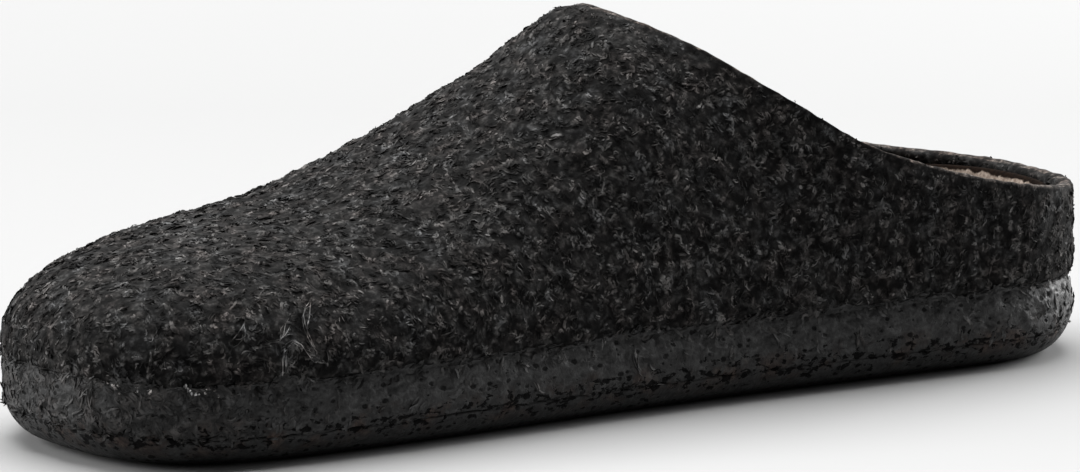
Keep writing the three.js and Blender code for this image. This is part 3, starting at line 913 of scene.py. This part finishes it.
def scatter(draw, points, triangles, weight, count):
    """Random places on a surface, with their outward directions. weight says how dense each triangle is."""
    a, b, c = (points[triangles[:, k]] for k in range(3))
    area = np.linalg.norm(np.cross(b - a, c - a), axis=1) / 2
    chance = area * weight((a + b + c) / 3)
    picked = draw.choice(len(triangles), size=count, p=chance / chance.sum())
    u, v = draw.random(count), draw.random(count)
    over = u + v > 1
    u, v = np.where(over, 1 - u, u)[:, None], np.where(over, 1 - v, v)[:, None]
    normals = point_normals(points, triangles)
    corners = triangles[picked]
    place = points[corners[:, 0]] * (1 - u - v) + points[corners[:, 1]] * u + points[corners[:, 2]] * v
    facing = normals[corners[:, 0]] * (1 - u - v) + normals[corners[:, 1]] * u + normals[corners[:, 2]] * v
    return place, facing / np.linalg.norm(facing, axis=1, keepdims=True)


def felt_share(kind):
    """How dense a kind is at places on the felt: none in the band or on the collar's cut edge, and thicker
    in clumps."""

    def density(centres):
        shown = clear_of_band(centres) * (by_collar(centres, BARE_BY_COLLAR) < 0.5)
        clumps = field(centres, kind["clump"], 2, kind["clump"])
        return shown * np.clip(1 + kind["contrast"] * clumps, 0.12, 2.5)

    return density


def hair_share(centres):
    """How dense the hairs are at places on the felt."""
    gaps = np.linalg.norm(centres[:, None] - HAIR_PLACES[None], axis=2).min(axis=1)
    return np.exp(-((gaps / HAIR_REACH) ** 2)) + HAIR_STRAYS * (centres[:, 2] > STRAYS_ABOVE)


def coated_share(centres):
    """How dense the coated fibres are at places on the band: most round the toe, at the heel and on top."""
    toe = rise(-centres[:, 0], *COATED_TOE)
    heel = rise(centres[:, 0], *COATED_HEEL)
    top = rise(centres[:, 2], *COATED_TOP)
    clump = np.clip(1 + field(centres, 4.0, 2, 2.2), 0.1, 2.5)
    outside = centres[:, 2] < COATED_HIGHEST
    return clump * outside * (0.06 + toe + 0.3 * heel + 0.9 * top)


def glints_share(centres):
    """1 where there may be painted glints on the band, and 0 elsewhere."""
    x, y, z = centres.T
    level = z - lift(x) - BAND_HEIGHT
    along = (x > GLINTS_FROM) & (x < GLINTS_TO) & (y < GLINTS_OUTSIDE)
    return 1.0 * (along & (np.abs(level - GLINTS_LEVEL) < GLINTS_BREADTH))


def add_fibres(kind, points, triangles, share, calmed=False):
    """One piece of a kind of fibre on a surface, where share says how dense it is at a place. Calmed ones are
    short and flat by the collar's cut edge."""
    draw = np.random.default_rng(kind["seed"])
    starts, facing = scatter(draw, points, triangles, share, kind["locks"])
    calm = by_collar(starts, CALM_BY_COLLAR) if calmed else np.zeros(len(starts))
    ribbons, faces = fibre_ribbons(draw, starts, facing, kind, calm)
    stops = list(zip(FIBRE_SHADES_AT, kind["shades"]))
    roughness = kind.get("roughness", WOOL_ROUGHNESS)
    specular = kind.get("specular", WOOL_SPECULAR)
    wool = wool_material(kind["name"], stops, FIBRE_NOISE, roughness, specular)
    make_object(kind["name"], ribbons, faces, wool)


# The dressed pieces


def add_felt():
    points, triangles = felt_surface(Strips(*FELT_STRIPS))
    points = press_felt(points, triangles)
    ground = wool_material("felt_ground", GROUND_STOPS, GROUND_NOISE)
    upper = make_object("felt_upper", points, triangles, ground, "upper")
    upper.data.materials.append(wool_material("felt_cut_edge", CUT_STOPS, CUT_NOISE))
    cut = by_collar(points[triangles].mean(axis=1), CUT_EDGE_REACH) > 0.5
    upper.data.polygons.foreach_set("material_index", cut.astype(np.int32))
    for kind in FELT_FIBRES:
        add_fibres(kind, points, triangles, felt_share(kind), calmed=True)
    add_fibres(HAIRS, points, triangles, hair_share)


def add_band():
    points, triangles = band_surface(Strips(*BAND_STRIPS))
    points = press_band(points, triangles)
    coat = rubber_material("rubber_coat", BAND_STOPS, BAND_ROUGHNESS, BAND_HEEL_SHEEN)
    make_object("band_coat", points, triangles, coat, "band")
    add_fibres(COATED, points, triangles, coated_share)
    # Painted glints: pale flecks along the coat's upper edge
    add_fibres(PAINTED_GLINTS, points, triangles, glints_share)


def add_sole():
    strips = Strips(*SOLE_STRIPS)
    points, triangles = outsole_surface(strips)
    tread = rubber_material("outsole_rubber", OUTSOLE_STOPS, OUTSOLE_ROUGHNESS, OUTSOLE_HEEL_SHEEN)
    make_object("outsole_rubber", points, triangles, tread, "outsole")
    points, triangles = footbed_surface(strips)
    make_object("footbed_suede", points, triangles, suede_material(), "footbed")


# Stage: floor, light and camera

FLOOR_REACH = 6.0
# The floor's tone by millimetres away from the camera
FLOOR_FROM, FLOOR_RANGE = -400.0, 900.0
FLOOR_TONES = [(-300.0, 0.46), (-50.0, 0.41), (400.0, 0.355)]
# Soft lights, placed in the photograph's view: metres to the right, away from the camera, and up
LIGHTS = [
    {"name": "overhead", "right": -0.3, "away": 0.95, "up": 2.8, "size": 3.0, "power": 188.0},
    {"name": "left", "right": -2.0, "away": 0.3, "up": 0.8, "size": 1.3, "power": 44.0},
    {"name": "right", "right": 1.6, "away": 1.2, "up": 0.7, "size": 1.2, "power": 57.0},
]
WORLD_LIGHT = 0.1
VIEW_RIGHT = Vector((math.cos(VIEW_AZIMUTH), math.sin(VIEW_AZIMUTH), 0.0))
VIEW_AWAY = Vector((-math.sin(VIEW_AZIMUTH), math.cos(VIEW_AZIMUTH), 0.0))


def add_camera():
    data = bpy.data.cameras.new("camera")
    data.sensor_width = SENSOR_WIDTH
    data.lens = VIEW_FOCAL_PIXELS / PHOTO_WIDTH * SENSOR_WIDTH
    camera = bpy.data.objects.new("camera", data)
    flat = math.cos(VIEW_ELEVATION)
    back = Vector((
        math.sin(VIEW_AZIMUTH) * flat,
        -math.cos(VIEW_AZIMUTH) * flat,
        math.sin(VIEW_ELEVATION),
    ))
    camera.location = VIEW_TARGET + back * VIEW_DISTANCE
    camera.rotation_mode = "QUATERNION"
    camera.rotation_quaternion = (-back).to_track_quat("-Z", "Y")
    bpy.context.scene.collection.objects.link(camera)
    bpy.context.scene.camera = camera


def add_floor():
    paint = Paint("floor", 0.1)
    paint.set("Base Color", paint.level(VIEW_AWAY, FLOOR_FROM, FLOOR_RANGE, FLOOR_TONES))
    paint.set("Roughness", 0.9)
    mesh = bpy.data.meshes.new("floor")
    corners = [(x * FLOOR_REACH, y * FLOOR_REACH, 0) for x, y in ((-1, -1), (1, -1), (1, 1), (-1, 1))]
    mesh.from_pydata(corners, [], [(0, 1, 2, 3)])
    mesh.materials.append(paint.material)
    floor = bpy.data.objects.new("floor", mesh)
    bpy.context.scene.collection.objects.link(floor)


def add_lights():
    for row in LIGHTS:
        data = bpy.data.lights.new(row["name"], "AREA")
        data.size = row["size"]
        data.energy = row["power"]
        light = bpy.data.objects.new(row["name"], data)
        light.location = VIEW_RIGHT * row["right"] + VIEW_AWAY * row["away"] + Vector((0, 0, row["up"]))
        light.rotation_mode = "QUATERNION"
        light.rotation_quaternion = (VIEW_TARGET - light.location).to_track_quat("-Z", "Y")
        bpy.context.scene.collection.objects.link(light)
    world = bpy.data.worlds.new("world")
    world.use_nodes = True
    world.node_tree.nodes["Background"].inputs["Color"].default_value = (1, 1, 1, 1)
    world.node_tree.nodes["Background"].inputs["Strength"].default_value = WORLD_LIGHT
    bpy.context.scene.world = world
    bpy.context.scene.view_settings.view_transform = "Standard"


add_camera()
add_floor()
add_lights()
add_felt()
add_band()
add_sole()
